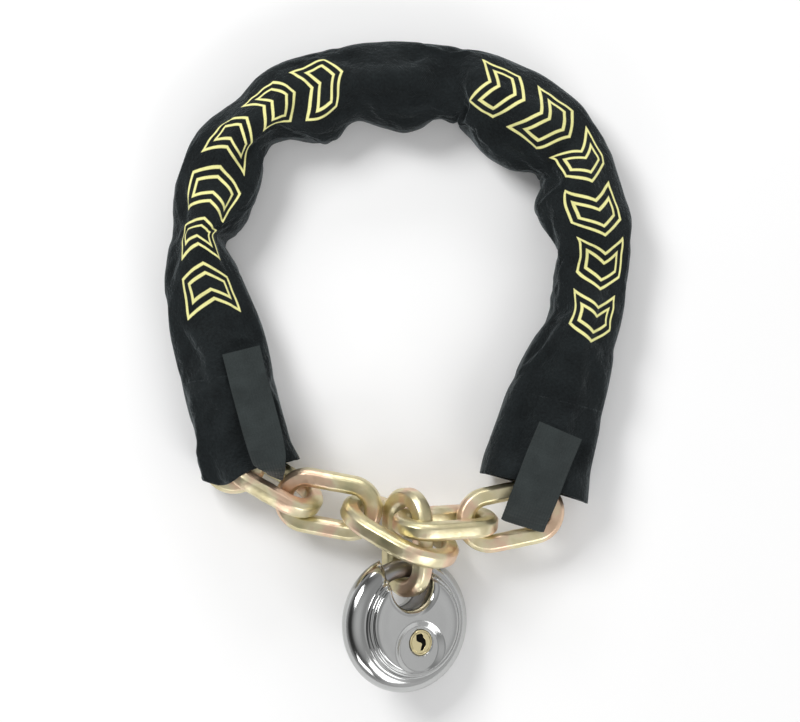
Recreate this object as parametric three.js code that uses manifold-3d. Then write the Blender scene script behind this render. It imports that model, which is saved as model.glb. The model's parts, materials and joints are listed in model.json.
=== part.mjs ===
// Chain lock: a loop of square-bar chain in a fabric sleeve, closed by a disc padlock.
// Millimetres, +Z up. It lies flat: Z = 0 is the surface it rests on.
import * as THREE from "three";
import { mergeVertices } from "three/addons/utils/BufferGeometryUtils.js";
import Module from "manifold-3d";

const wasm = await Module();
wasm.setup();

// ---- chain ----
const BAR = 9; // side of the square bar
const BAR_CHAMFER = 2; // flat taken off each long edge
const LINK_HALF_STRAIGHT = 11; // half the straight stretch of the bar centreline
const LINK_CROWN_R = 12; // bar centreline radius at the crowns
const LINK_PITCH = 2 * (LINK_HALF_STRAIGHT + LINK_CROWN_R); // 46, crown bar to crown bar
const NOOSE_HALF_STRAIGHT = 9;
const NOOSE_CROWN_R = 19;
const CHAIN_Z = 18.5; // height of the chain's middle plane
const FLAT_STEP = 21.5; // distance between the two upright crowns inside one flat link
const SLEEVED_PAIRS = 8; // pairs of one flat and one upright link inside the sleeve

// ---- sleeve ----
const SLEEVE_WALL = 1.6;
const SLEEVE_H = 37;
const SLEEVE_HALF_W = 21.5;
const SLEEVE_WAVE = 1.5; // it is wider over the flat links
const MOUTH_FLARE = [5, 7.5]; // extra half width at the left and right mouths
const JOIN_GAP = 0.3;

// ---- straps ----
const STRAP_T = 1.6;
const STRAP_W = [19, 23];

// ---- disc padlock, in its own frame: axis Z, mouth towards +Y ----
const FACE_Z = 12.5;
const FACE_R = 24;
const RIM_R = 27.2; // radius of the circle the rim and the shackle follow
const RIM_TUBE = 7.8;
const SHELL_WALL = 2.6;
const MOUTH_R = 11.5; // clear half width of the mouth
const MOUTH_Y = 18.8; // where its round end is centred
const MOUTH_ROLL = 3.4; // how far the rolled edge of the mouth reaches out over the face
const GUARD_WALL = 1.2;
const SHACKLE_R = 4.5;
const SHACKLE_FROM = -42; // degrees from the mouth's middle, positive anticlockwise from the front
const SHACKLE_TO = 66;
const ARM_AT = 58;
const PLUG = [2, -9.3];
const PLUG_R = 5.3;
const PLUG_GAP = 0.3;
const DISH = [0.6, -12.2]; // centre of the round dish the plug sits in
const DISH_R = [14.2, 11.2]; // at the face and at its floor
const DISH_DEPTH = 1.6;
const TEETH = 9; // on the hub and on the pinion alike
const MODULE = Math.hypot(...PLUG) / TEETH;
const GEAR_Z = [-4.8, -2.2];
const CORE_R = 20.6;
const CORE_Z = 9.4;
const PIN_R = 0.9;
const PIN_Z = [0.1, 2.8, 5.5, 8.1];

const rad = THREE.MathUtils.degToRad;
const V3 = (x, y, z) => new THREE.Vector3(x, y, z);

// ---------- materials ----------
const steelGold = new THREE.MeshStandardMaterial({ color: 0xcdb98a, metalness: 0.9, roughness: 0.35 });
const fabric = new THREE.MeshStandardMaterial({ color: 0x14181a, metalness: 0, roughness: 0.9 });
const webbing = new THREE.MeshStandardMaterial({ color: 0x23292a, metalness: 0, roughness: 0.85 });
const stainless = new THREE.MeshStandardMaterial({ color: 0xb9bcbe, metalness: 1, roughness: 0.15 });
const hardened = new THREE.MeshStandardMaterial({ color: 0x8e9194, metalness: 1, roughness: 0.3 });
const zincCore = new THREE.MeshStandardMaterial({ color: 0x8d9094, metalness: 0.8, roughness: 0.5 });
const brass = new THREE.MeshStandardMaterial({ color: 0xc9b072, metalness: 1, roughness: 0.3 });

const lock = new THREE.Group();
const add = (group, name, geometry, material) => {
  const mesh = new THREE.Mesh(geometry, material);
  mesh.name = name;
  group.add(mesh);
  return mesh;
};

// ---------- surfaces swept through rings of points ----------
function surface(points, faces) {
  const g = new THREE.BufferGeometry();
  g.setAttribute("position", new THREE.Float32BufferAttribute(points.flatMap((p) => [p.x, p.y, p.z]), 3));
  g.setIndex(faces.flat());
  return solidOf(g).geometry;
}

// Quads between ring i and ring j of n points each.
function bandBetween(i, j, n) {
  const faces = [];
  for (let k = 0; k < n; k++) {
    const l = (k + 1) % n;
    faces.push([i * n + k, j * n + k, j * n + l], [i * n + k, j * n + l, i * n + l]);
  }
  return faces;
}

// Rings that close on themselves, as a chain link does.
function closedSweep(rings) {
  const n = rings[0].length;
  const faces = rings.flatMap((_, i) => bandBetween(i, (i + 1) % rings.length, n));
  return surface(rings.flat(), faces);
}

// Rings with a flat cap at each end.
function cappedSweep(rings) {
  const n = rings[0].length;
  const last = rings.length - 1;
  const faces = rings.slice(1).flatMap((_, i) => bandBetween(i, i + 1, n));
  for (let k = 1; k < n - 1; k++) {
    faces.push([0, k, k + 1], [last * n, last * n + k + 1, last * n + k]);
  }
  return surface(rings.flat(), faces);
}

// ---------- booleans ----------
function solidOf(geometry, matrix) {
  const g = geometry.clone();
  g.deleteAttribute("normal");
  g.deleteAttribute("uv");
  if (matrix) g.applyMatrix4(matrix);
  const merged = mergeVertices(g, 1e-4);
  const build = (turned) => {
    const tri = new Uint32Array(merged.index.array);
    if (turned) {
      for (let i = 0; i < tri.length; i += 3) [tri[i + 1], tri[i + 2]] = [tri[i + 2], tri[i + 1]];
    }
    const vertProperties = new Float32Array(merged.attributes.position.array);
    return new wasm.Manifold(new wasm.Mesh({ numProp: 3, vertProperties, triVerts: tri }));
  };
  let body = build(false);
  if (body.volume() < 0) body = build(true);
  return { body, geometry: geometryOf(body) };
}

function geometryOf(body) {
  const m = body.getMesh();
  const g = new THREE.BufferGeometry();
  const position = [];
  for (let i = 0; i < m.numVert; i++) {
    position.push(...m.vertProperties.slice(i * m.numProp, i * m.numProp + 3));
  }
  g.setAttribute("position", new THREE.Float32BufferAttribute(position, 3));
  g.setIndex([...m.triVerts]);
  return g;
}

const at = (x, y, z) => new THREE.Matrix4().makeTranslation(x, y, z);
const turnZ = (deg) => new THREE.Matrix4().makeRotationZ(rad(deg));
const body = (geometry, matrix) => solidOf(geometry, matrix).body;
const alongZ = new THREE.Matrix4().makeRotationX(Math.PI / 2);

// Cylinder of radius r about a line parallel to Z.
function rod(r, z0, z1, x = 0, y = 0, sides = 32) {
  const g = new THREE.CylinderGeometry(r, r, z1 - z0, sides);
  return body(g, at(x, y, (z0 + z1) / 2).multiply(alongZ));
}

function box(x0, x1, y0, y1, z0, z1) {
  const g = new THREE.BoxGeometry(x1 - x0, y1 - y0, z1 - z0);
  return body(g, at((x0 + x1) / 2, (y0 + y1) / 2, (z0 + z1) / 2));
}

function plate(shape, z0, z1, curveSegments = 12) {
  const g = new THREE.ExtrudeGeometry(shape, { depth: z1 - z0, bevelEnabled: false, curveSegments });
  return body(g, at(0, 0, z0));
}

// A lathed solid about Z from (radius, height) pairs.
function turned(profile, sides = 44) {
  const g = new THREE.LatheGeometry(profile.map(([r, z]) => new THREE.Vector2(r, z)), sides);
  return body(g, alongZ);
}

// ---------- chain links ----------
// The section is a square with its four edges taken off.
function barSection(bar, chamfer) {
  const h = bar / 2;
  const c = h - chamfer;
  return [[h, -c], [h, c], [c, h], [-c, h], [-h, c], [-h, -c], [-c, -h], [c, -h]];
}

// An oval link in its own frame: long axis X, width Y, thickness Z.
function linkGeometry(halfStraight, crownR, crownSteps = 6) {
  const section = barSection(BAR, BAR_CHAMFER);
  const rings = [];
  for (const side of [1, -1]) {
    for (let i = 0; i <= crownSteps; i++) {
      const a = -Math.PI / 2 + (Math.PI * i) / crownSteps + (side < 0 ? Math.PI : 0);
      const out = V3(Math.cos(a), Math.sin(a), 0);
      const centre = V3(side * halfStraight, 0, 0).addScaledVector(out, crownR);
      rings.push(section.map(([u, v]) => centre.clone().addScaledVector(out, u).setZ(v)));
    }
  }
  return closedSweep(rings);
}

// Turns a link's frame: heading about Z, climb of the long axis, roll about the long axis.
function pose(x, y, z, heading, climb, roll) {
  const along = V3(
    Math.cos(rad(heading)) * Math.cos(rad(climb)),
    Math.sin(rad(heading)) * Math.cos(rad(climb)),
    Math.sin(rad(climb)),
  );
  const level = V3(-Math.sin(rad(heading)), Math.cos(rad(heading)), 0);
  const up = along.clone().cross(level);
  const wide = level.clone().multiplyScalar(Math.cos(rad(roll))).addScaledVector(up, Math.sin(rad(roll)));
  const m = new THREE.Matrix4().makeBasis(along, wide, along.clone().cross(wide));
  return m.setPosition(x, y, z);
}

function addLink(name, matrix, noose = false) {
  const g = noose ? linkGeometry(NOOSE_HALF_STRAIGHT, NOOSE_CROWN_R, 9) : linkGeometry(LINK_HALF_STRAIGHT, LINK_CROWN_R);
  const mesh = add(lock, name, g, steelGold);
  mesh.applyMatrix4(matrix);
  return mesh;
}

// ---------- the path of the loop ----------
// The sleeve's centreline, from its left mouth up, over and down to its right mouth.
const sleevePath = new THREE.CatmullRomCurve3([
  V3(-75.6, -50, 0), V3(-79.5, -37, 0), V3(-87.5, -8, 0), V3(-96, 21, 0), V3(-101, 45, 0), V3(-98.5, 75, 0),
  V3(-87.5, 108, 0), V3(-67, 130, 0), V3(-38, 140, 0), V3(-3, 145.5, 0), V3(26, 142, 0), V3(54, 136, 0),
  V3(79, 118, 0), V3(92.5, 93, 0), V3(98.5, 68, 0), V3(96, 44, 0), V3(90, 13, 0), V3(81, -18, 0),
  V3(73, -42, 0), V3(68, -60, 0),
], false, "centripetal");

// The chain enters the left mouth off centre, and leaves the right one beside the strap.
const CHAIN_START = V3(-83.6, -47.6, 0);
const CHAIN_END = V3(66.8, -72.2, 0);
const chainPath = new THREE.CatmullRomCurve3([
  CHAIN_START, V3(-85, -26, 0), V3(-89, -4, 0), V3(-96, 21, 0), V3(-101, 45, 0), V3(-98.5, 75, 0),
  V3(-87.5, 108, 0), V3(-67, 130, 0), V3(-38, 140, 0), V3(-3, 145.5, 0), V3(26, 142, 0), V3(54, 136, 0),
  V3(79, 118, 0), V3(92.5, 93, 0), V3(98.5, 68, 0), V3(96, 44, 0), V3(90, 13, 0), V3(81, -18, 0),
  V3(73.5, -42, 0), V3(69, -60, 0), CHAIN_END,
], false, "centripetal");
chainPath.arcLengthDivisions = 2000;
sleevePath.arcLengthDivisions = 2000;

// Points on a curve that are the given straight-line distances apart.
function stepAlong(curve, steps) {
  const length = curve.getLength();
  const points = [curve.getPointAt(0)];
  let u = 0;
  for (const step of steps) {
    const from = points[points.length - 1];
    let low = u;
    let high = Math.min(1, u + (1.4 * step) / length);
    for (let i = 0; i < 40; i++) {
      const mid = (low + high) / 2;
      if (curve.getPointAt(mid).distanceTo(from) < step) low = mid;
      else high = mid;
    }
    u = low;
    points.push(curve.getPointAt(u));
  }
  return points;
}

const steps = Array.from({ length: 2 * SLEEVED_PAIRS }, (_, i) => (i % 2 ? LINK_PITCH : FLAT_STEP));
const pivots = stepAlong(chainPath, steps);
export const slack = pivots[pivots.length - 1].distanceTo(CHAIN_END);

// ---------- chain: links inside the sleeve ----------
pivots.slice(1).forEach((end, i) => {
  const start = pivots[i];
  const mid = start.clone().add(end).multiplyScalar(0.5);
  const heading = THREE.MathUtils.radToDeg(Math.atan2(end.y - start.y, end.x - start.x));
  const name = "link_s" + String(i + 1).padStart(2, "0");
  addLink(name, pose(mid.x, mid.y, CHAIN_Z, heading, 0, i % 2 ? 90 : 0));
});

// ---------- chain: links outside the sleeve ----------
// Each lies as it fell: middle, heading, climb of the long axis, roll about it.
const outer = {
  link_l1: [-64.06, -58.07, 18.43, -29.75, 0.15, 116.97],
  link_l2: [-36.00, -69.57, 19.11, -10.19, 4.82, 11.14],
  link_r1: [55.43, -75.21, 21.02, 11.15, -6.14, 0.04],
  link_r2: [22.72, -78.32, 28.83, 2.26, -23.92, 104.58],
  link_end: [3.54, -88.47, 24.47, 89.43, 3.37, 129.88],
};
const noosePose = [-0.24, -82.43, 26.39, -28.87, 20.82, 109.11];
for (const [name, p] of Object.entries(outer)) addLink(name, pose(...p));
addLink("link_noose", pose(...noosePose), true);

// ---------- sleeve ----------
// Section of the tube: flat underneath, sides that rise to a narrower top.
function sleeveSection(halfW, height, inset) {
  const w = halfW - inset;
  const top = height - inset;
  return [
    [-w + 6, inset], [w - 6, inset], [w - 1.5, 3 + inset], [w, 9], [w, 17], [w - 2, 24], [w * 0.72, 31],
    [w * 0.36, top], [-w * 0.36, top], [-w * 0.72, 31], [-w + 2, 24], [-w, 17], [-w, 9], [-w + 1.5, 3 + inset],
  ];
}

function sleeveHalfWidth(s, total) {
  const wave = SLEEVE_WAVE * Math.cos((2 * Math.PI * (s - FLAT_STEP / 2)) / (LINK_PITCH + FLAT_STEP));
  const left = MOUTH_FLARE[0] * Math.exp(-((s / 45) ** 2));
  const right = MOUTH_FLARE[1] * Math.exp(-(((total - s) / 60) ** 2));
  return SLEEVE_HALF_W + wave + left + right;
}

function sleeveRing(s, total, inset) {
  const u = Math.min(1, Math.max(0, s / total));
  const p = sleevePath.getPointAt(u);
  const t = sleevePath.getTangentAt(u);
  const side = V3(t.y, -t.x, 0);
  return sleeveSection(sleeveHalfWidth(s, total), SLEEVE_H, inset).map(([x, z]) =>
    p.clone().addScaledVector(side, x).setZ(z),
  );
}

// A length of tube: outer and inner rings joined at both ends.
function tubeLength(s0, s1, total, count) {
  const at = Array.from({ length: count + 1 }, (_, i) => s0 + ((s1 - s0) * i) / count);
  const out = at.map((s) => sleeveRing(s, total, 0));
  const inn = at.map((s) => sleeveRing(s, total, SLEEVE_WALL)).reverse();
  return closedSweep([...out, ...inn]);
}

const sleeveLength = sleevePath.getLength();
const repeat = LINK_PITCH + FLAT_STEP + 0.35;
for (let k = 0; k < SLEEVED_PAIRS; k++) {
  const s0 = k === 0 ? 0 : 10 + repeat * k;
  const s1 = k === SLEEVED_PAIRS - 1 ? sleeveLength : 10 + repeat * (k + 1) - JOIN_GAP;
  add(lock, "sleeve_" + (k + 1), tubeLength(s0, s1, sleeveLength, 4), fabric);
}

// ---------- straps ----------
// A ribbon through points, each with its width; it lies square to the side vector.
function ribbon(stations) {
  const points = stations.map(([x, y, z]) => V3(x, y, z));
  const rings = stations.map(([, , , width, sx, sy, sz], i) => {
    const before = points[Math.max(0, i - 1)];
    const after = points[Math.min(points.length - 1, i + 1)];
    const along = after.clone().sub(before).normalize();
    const side = V3(sx, sy, sz);
    side.addScaledVector(along, -side.dot(along)).normalize();
    const up = side.clone().cross(along);
    const corners = [[-0.5, -0.5], [0.5, -0.5], [0.5, 0.5], [-0.5, 0.5]];
    return corners.map(([a, b]) =>
      points[i].clone().addScaledVector(side, a * width).addScaledVector(up, b * STRAP_T),
    );
  });
  return cappedSweep(rings);
}

// Left strap: along the sleeve's top, then narrowed and tucked through link_l1.
add(lock, "strap_left", ribbon([
  [-79, 8, 38.6, STRAP_W[0], 0.96, 0.27, 0],
  [-73, -16, 38.6, STRAP_W[0], 0.95, 0.3, 0],
  [-67.5, -36, 38.6, STRAP_W[0], 0.92, 0.38, 0],
  [-64.8, -46.6, 38.6, 17, 0.94, 0.1, 0],
  [-63.3, -51, 35, 13, 0.95, 0, 0],
  [-62.8, -53.6, 29, 10, 0.9, -0.2, 0],
  [-62.8, -55.4, 23.5, 9, 0.87, -0.4, 0],
]), webbing);

// Right strap: along the sleeve's top, over the mouth and down onto link_r1.
add(lock, "strap_right", ribbon([
  [80, -32, 38.6, STRAP_W[1], 0.94, -0.34, 0],
  [74, -46, 38.6, STRAP_W[1], 0.94, -0.35, 0],
  [68.5, -60, 38.4, STRAP_W[1], 0.94, -0.3, 0],
  [65.2, -68.6, 35.6, STRAP_W[1], 0.955, -0.28, 0],
  [62.9, -74.8, 31.6, 22.5, 0.965, -0.26, 0],
  [61.2, -79.9, 27.8, 22.5, 0.966, -0.26, 0],
]), webbing);

// ---------- disc padlock ----------
const padlock = new THREE.Group();
padlock.position.set(2.5, -128.7, 24.0);
padlock.rotation.set(0, rad(30), rad(5.5), "YZX");
lock.add(padlock);

const arcPoints = (cx, r, from, to, count) =>
  Array.from({ length: count + 1 }, (_, i) => {
    const a = rad(from + ((to - from) * i) / count);
    return [cx + r * Math.cos(a), r * Math.sin(a)];
  });

// Cap: the domed face with its step, the valley round it and the rolled rim.
const capOutside = [
  [0, FACE_Z], [FACE_R - 0.6, FACE_Z], [FACE_R, FACE_Z - 0.4], [FACE_R + 0.5, FACE_Z - 1.8],
  [FACE_R + 1.6, FACE_Z - 2.2], [FACE_R + 2.2, FACE_Z - 3.4], [FACE_R + 2.6, 7.9],
  ...arcPoints(RIM_R, RIM_TUBE, 84, 1, 8),
];
const capInside = [
  ...arcPoints(RIM_R, RIM_TUBE - SHELL_WALL, 1.6, 95, 6), [21.2, 5.3], [21.2, FACE_Z - SHELL_WALL], [0, FACE_Z - SHELL_WALL],
];
const cap = turned([...capOutside, ...capInside].map(([r, z]) => [r, Math.max(z, 0.15)]));

// The mouth: straight sides that end in a half circle.
function mouthShape(r, reach) {
  const s = new THREE.Shape();
  s.moveTo(r, reach);
  s.lineTo(r, MOUTH_Y);
  s.absarc(0, MOUTH_Y, r, 0, Math.PI, true);
  s.lineTo(-r, reach);
  s.closePath();
  return s;
}
const mouth = plate(mouthShape(MOUTH_R, 45), -20, 20);
// The rolled edge: a cone that widens the mouth towards the face.
const cone = (r0, r1, z0, z1, x, y) =>
  body(new THREE.CylinderGeometry(r1, r0, z1 - z0, 32), at(x, y, (z0 + z1) / 2).multiply(alongZ));
const rolledEdge = cone(MOUTH_R, MOUTH_R + MOUTH_ROLL + 0.7, FACE_Z - 3.8, FACE_Z + 0.8, 0, MOUTH_Y);
const dish = cone(DISH_R[1], DISH_R[0] + 1.8, FACE_Z - DISH_DEPTH, FACE_Z + 1, ...DISH);
const plugWindow = rod(PLUG_R + 1.2, 5, FACE_Z + 2, ...PLUG);
const frontShell = cap.subtract(mouth).subtract(rolledEdge).subtract(dish).subtract(plugWindow);
add(padlock, "front_shell", geometryOf(frontShell), stainless);
const rearShell = body(geometryOf(cap.subtract(rolledEdge)), new THREE.Matrix4().makeRotationY(Math.PI)).subtract(mouth);
add(padlock, "rear_shell", geometryOf(rearShell), stainless);

// The path of the shackle's bar round the rim.
function rimBar(r, from, to, count) {
  const points = Array.from({ length: count + 1 }, (_, i) => {
    const a = rad(90 + from + ((to - from) * i) / count);
    return V3(RIM_R * Math.cos(a), RIM_R * Math.sin(a), 0);
  });
  const rings = points.map((p) => {
    const out = p.clone().normalize();
    return Array.from({ length: 16 }, (_, k) => {
      const a = (2 * Math.PI * k) / 16;
      return p.clone().addScaledVector(out, r * Math.cos(a)).setZ(r * Math.sin(a));
    });
  });
  return body(cappedSweep(rings));
}

const guardOuter = plate(mouthShape(MOUTH_R + GUARD_WALL + 0.3, 40), -CORE_Z, CORE_Z);
const guardInner = plate(mouthShape(MOUTH_R + 0.3, 41), -20, 20);
const guardWall = guardOuter.subtract(guardInner).intersect(rod(CORE_R, -CORE_Z, CORE_Z, 0, 0, 44));
const gearRoom = rod((MODULE * TEETH) / 2 + 0.8 * MODULE + 0.4, GEAR_Z[0] - 0.3, GEAR_Z[1] + 0.3);
const guard = guardWall.subtract(rimBar(SHACKLE_R + 0.3, -75, 75, 22)).subtract(gearRoom);
add(padlock, "mouth_guard", geometryOf(guard), hardened);

// ---------- the gear pair and the shackle ----------
// Teeth with straight flanks, narrower at the tip.
function gearShape(teeth, turn) {
  const pitchR = (MODULE * teeth) / 2;
  const tip = pitchR + 0.8 * MODULE;
  const root = pitchR - 1.15 * MODULE;
  const s = new THREE.Shape();
  const half = Math.PI / teeth;
  for (let i = 0; i < teeth; i++) {
    const a = 2 * half * i + rad(turn);
    const flank = [[root, 0.56], [pitchR, 0.4], [tip, 0.17], [tip, -0.17], [pitchR, -0.4], [root, -0.56]];
    for (const [r, share] of flank) {
      const b = a - share * half;
      if (i === 0 && share === 0.56) s.moveTo(r * Math.cos(b), r * Math.sin(b));
      else s.lineTo(r * Math.cos(b), r * Math.sin(b));
    }
  }
  s.closePath();
  return s;
}

// A tooth of the hub points at the plug, where the pinion has a gap.
const toPlug = THREE.MathUtils.radToDeg(Math.atan2(PLUG[1], PLUG[0]));
const hub = plate(gearShape(TEETH, toPlug), GEAR_Z[0], GEAR_Z[1], 1);
const armShape = new THREE.Shape();
armShape.moveTo(-2.2, 3);
armShape.lineTo(2.2, 3);
armShape.lineTo(2.4, RIM_R);
armShape.lineTo(-2.4, RIM_R);
armShape.closePath();
const armPlate = body(geometryOf(plate(armShape, GEAR_Z[0], GEAR_Z[1])), turnZ(ARM_AT));
const shackle = rimBar(SHACKLE_R, SHACKLE_FROM, SHACKLE_TO, 14).add(armPlate).add(hub).subtract(rod(2.4, -20, 20, 0, 0, 20));
add(padlock, "shackle", geometryOf(shackle), hardened);
add(padlock, "pivot_pin", geometryOf(rod(2, -8.6, 1.6, 0, 0, 16)), hardened);

const pinionShape = gearShape(TEETH, toPlug + 180 + 180 / TEETH);
const pinion = body(geometryOf(plate(pinionShape, GEAR_Z[0], GEAR_Z[1], 1)), at(...PLUG, 0));
add(padlock, "plug_pinion", geometryOf(pinion.subtract(rod(2.1, -20, 20, ...PLUG, 12))), brass);

// ---------- plug, pins and cores ----------
const plugBody = rod(PLUG_R, -1.6, FACE_Z - DISH_DEPTH + 0.1, ...PLUG, 28);
const plugTail = rod(1.8, -7.6, 0, ...PLUG, 12);
const keyway = box(PLUG[0] - 0.9, PLUG[0] + 0.9, PLUG[1] - 3.4, PLUG[1] + 3.6, -1.1, 20);
const wardSlot = box(PLUG[0], PLUG[0] + 2.4, PLUG[1] + 0.6, PLUG[1] + 2, -1.1, 20);
let plug = plugBody.add(plugTail).subtract(keyway).subtract(wardSlot);
const shearY = PLUG[1] - PLUG_R; // the pins stand below the plug, towards the rim

// A round pin whose axis is parallel to Y.
const across = (r, y0, y1, z, sides = 12) =>
  body(new THREE.CylinderGeometry(r, r, y1 - y0, sides), at(PLUG[0], (y0 + y1) / 2, z));

const driverEnd = shearY - 2.2;
const chamberEnd = -20.1;
const frontCoreShell = turned([[0, -1.5], [CORE_R, -1.5], [CORE_R, CORE_Z], [0, CORE_Z]]);
const guardRoom = plate(mouthShape(MOUTH_R + GUARD_WALL + 0.6, 41), -20, 20);
let frontCore = frontCoreShell.subtract(guardRoom).subtract(rod(PLUG_R + PLUG_GAP, -20, 20, ...PLUG, 28));
frontCore = frontCore.subtract(rod(2.4, -20, 2.2, 0, 0, 16));
PIN_Z.forEach((z) => {
  plug = plug.subtract(across(PIN_R + 0.25, shearY - 1, PLUG[1], z));
  frontCore = frontCore.subtract(across(PIN_R + 0.25, chamberEnd, shearY + 1, z));
});
add(padlock, "front_core", geometryOf(frontCore), zincCore);
add(padlock, "key_plug", geometryOf(plug), brass);

const rearCoreShell = turned([[0, -CORE_Z], [CORE_R, -CORE_Z], [CORE_R, -5.1], [0, -5.1]]);
const rearCore = rearCoreShell
  .subtract(guardRoom)
  .subtract(rod(2.3, -9, 20, 0, 0, 16))
  .subtract(rod(2.1, -9, 20, ...PLUG, 12));
add(padlock, "rear_core", geometryOf(rearCore), zincCore);

// One spring: a thin wire wound about a line parallel to Y.
function springGeometry(y0, y1, z, turns = 3) {
  const radius = 0.62;
  const wire = 0.17;
  const count = turns * 7;
  const rings = Array.from({ length: count + 1 }, (_, i) => {
    const a = (2 * Math.PI * turns * i) / count;
    const out = V3(Math.cos(a), 0, Math.sin(a));
    const centre = V3(PLUG[0], y0 + ((y1 - y0) * i) / count, z).addScaledVector(out, radius);
    return Array.from({ length: 4 }, (_, k) => {
      const b = (Math.PI * k) / 2;
      return centre.clone().addScaledVector(out, wire * Math.cos(b)).add(V3(0, wire * Math.sin(b), 0));
    });
  });
  return cappedSweep(rings);
}

PIN_Z.forEach((z, i) => {
  const keyLength = 1.9 + 0.3 * ((i * 2) % 3);
  add(padlock, "key_pin_" + (i + 1), geometryOf(across(PIN_R, shearY + 0.1, shearY + 0.1 + keyLength, z)), brass);
  add(padlock, "driver_pin_" + (i + 1), geometryOf(across(PIN_R, driverEnd, shearY - 0.2, z)), hardened);
  add(padlock, "pin_spring_" + (i + 1), springGeometry(chamberEnd + 0.4, driverEnd - 0.4, z), stainless);
});

// Dark ring round the plug, in the floor of the dish.
const collarZ = [FACE_Z - DISH_DEPTH - 1, FACE_Z - DISH_DEPTH + 0.2];
const collar = rod(PLUG_R + 1, ...collarZ, ...PLUG, 28).subtract(rod(PLUG_R + 0.3, 0, 20, ...PLUG, 28));
add(padlock, "keyway_collar", geometryOf(collar), hardened);

export const layout = { pivots, outer, noosePose, sleevePath, sleeveLength };
export default lock;
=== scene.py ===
"""Looks of the chain lock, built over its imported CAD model. Metres, +Z up, as in the record."""

import json
import math

import bpy
import numpy as np
from mathutils import Matrix, Vector
from mathutils.bvhtree import BVHTree

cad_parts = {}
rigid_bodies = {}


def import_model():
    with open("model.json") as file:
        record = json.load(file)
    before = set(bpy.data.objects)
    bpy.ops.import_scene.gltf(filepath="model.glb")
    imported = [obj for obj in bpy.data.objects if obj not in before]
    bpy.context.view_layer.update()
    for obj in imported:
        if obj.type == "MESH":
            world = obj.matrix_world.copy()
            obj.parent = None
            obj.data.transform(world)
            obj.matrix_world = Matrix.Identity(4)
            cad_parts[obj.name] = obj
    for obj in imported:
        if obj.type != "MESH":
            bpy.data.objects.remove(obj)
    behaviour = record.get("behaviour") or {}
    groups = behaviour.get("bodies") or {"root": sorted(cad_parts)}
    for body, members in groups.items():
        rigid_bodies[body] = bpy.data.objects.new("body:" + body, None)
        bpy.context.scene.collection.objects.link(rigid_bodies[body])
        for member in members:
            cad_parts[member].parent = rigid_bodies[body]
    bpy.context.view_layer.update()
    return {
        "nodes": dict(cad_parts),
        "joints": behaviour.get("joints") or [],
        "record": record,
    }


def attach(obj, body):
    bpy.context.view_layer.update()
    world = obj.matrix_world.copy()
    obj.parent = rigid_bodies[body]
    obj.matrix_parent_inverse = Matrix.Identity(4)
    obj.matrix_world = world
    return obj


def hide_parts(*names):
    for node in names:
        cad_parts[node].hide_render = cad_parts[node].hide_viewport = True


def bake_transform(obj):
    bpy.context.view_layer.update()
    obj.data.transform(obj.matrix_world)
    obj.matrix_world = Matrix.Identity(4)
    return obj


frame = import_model()
MM = 0.001

# ---------------------------------------------------------------- sizes, in millimetres
BAR_HALF = 4.5
BAR_FLAT = 2.5  # half the flat left between the bar's chamfered edges
BAR_ROUND = 0.55

# Centreline of the sleeve, from its left mouth round to its right mouth.
SLEEVE_PATH = [
    (-75.6, -50), (-79.5, -37), (-87.5, -8), (-96, 21), (-101, 45), (-98.5, 75), (-87.5, 108),
    (-67, 130), (-38, 140), (-3, 145.5), (26, 142), (54, 136), (79, 118), (92.5, 93), (98.5, 68),
    (96, 44), (90, 13), (81, -18), (73, -42), (68, -60),
]
# The fabric is taut round the outside of the bend, from link to link.
OUTER_EDGE = [
    (-101, -55.5), (-103.3, -38.6), (-117.8, 22.5), (-118.5, 59), (-111.8, 99), (-102.3, 119.5),
    (-73.5, 145.6), (-54.5, 153.7), (-21.2, 163.2), (-1.5, 164), (15, 161.3), (28.6, 158.4),
    (48.4, 157.3), (71.8, 148.7), (94.3, 131.6), (106, 108.7), (118.2, 74.5), (114.5, 35.7),
    (103.6, -21), (96.1, -53), (94.6, -70),
]
# On the inside it is gathered: puffed lobes that meet in sharp pinches.
INNER_LOBES = [
    [(-50.2, -47.5), (-60.3, -18.5), (-67.5, 15.3), (-78.6, 43.4), (-90, 65)],
    [(-90, 65), (-84, 65.5), (-77, 72), (-70.5, 84), (-69, 98), (-69.5, 105), (-66.5, 111.5)],
    [(-66.5, 111.5), (-60, 115.5), (-46.4, 113), (-37, 110.2), (-29.8, 113.5), (-26.5, 120.5),
     (-20.8, 125)],
    [(-20.8, 125), (-6, 119), (2.1, 116.6), (14.2, 120.5), (20.5, 124.6), (31, 129)],
    [(31, 129), (29.8, 124), (37.4, 111.4), (52, 99.7), (60.1, 97.6), (72, 98.6), (76.6, 98.5)],
    [(76.6, 98.5), (71, 87.5), (66.5, 80.5), (69.8, 72.6), (81, 60)],
    [(81, 60), (80, 44.8), (77, 29.7), (68, 15.8), (55.2, -8.1), (49.3, -25), (41.5, -47), (40, -54.5)],
]
# Creases over the top. Each has its place along the path at the inner edge, its lean towards the
# right mouth, its depth, its width and the share of the top that it crosses.
CREASES = [
    (62, -26, 3.4, 8, 0.8), (92, 20, 3.2, 7, 0.75), (118, 6, 6.5, 6, 0.8), (150, 16, 2.6, 6, 0.5),
    (186, -12, 6.5, 6, 0.8), (205, 10, 2.5, 5, 0.5), (237, 16, 6.0, 6, 0.95), (262, -10, 3.6, 6, 0.8),
    (288, 2, 7.0, 5.5, 0.9), (304, 14, 3.6, 6, 0.7), (330, -8, 2.2, 6, 0.5), (366, -14, 6.0, 6, 0.8),
    (392, 14, 3.0, 6, 0.6), (428, 8, 4.4, 7, 0.8), (452, -16, 3.0, 8, 0.7), (484, 22, 3.0, 9, 0.8),
]
FABRIC_LENGTH = 606.0  # of the tube laid straight: the outer side of the bend is nearly taut
FABRIC_ROUND = 134.0  # round the tube
CLOTH_STEP = 2.75  # between neighbouring points of the cloth
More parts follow.
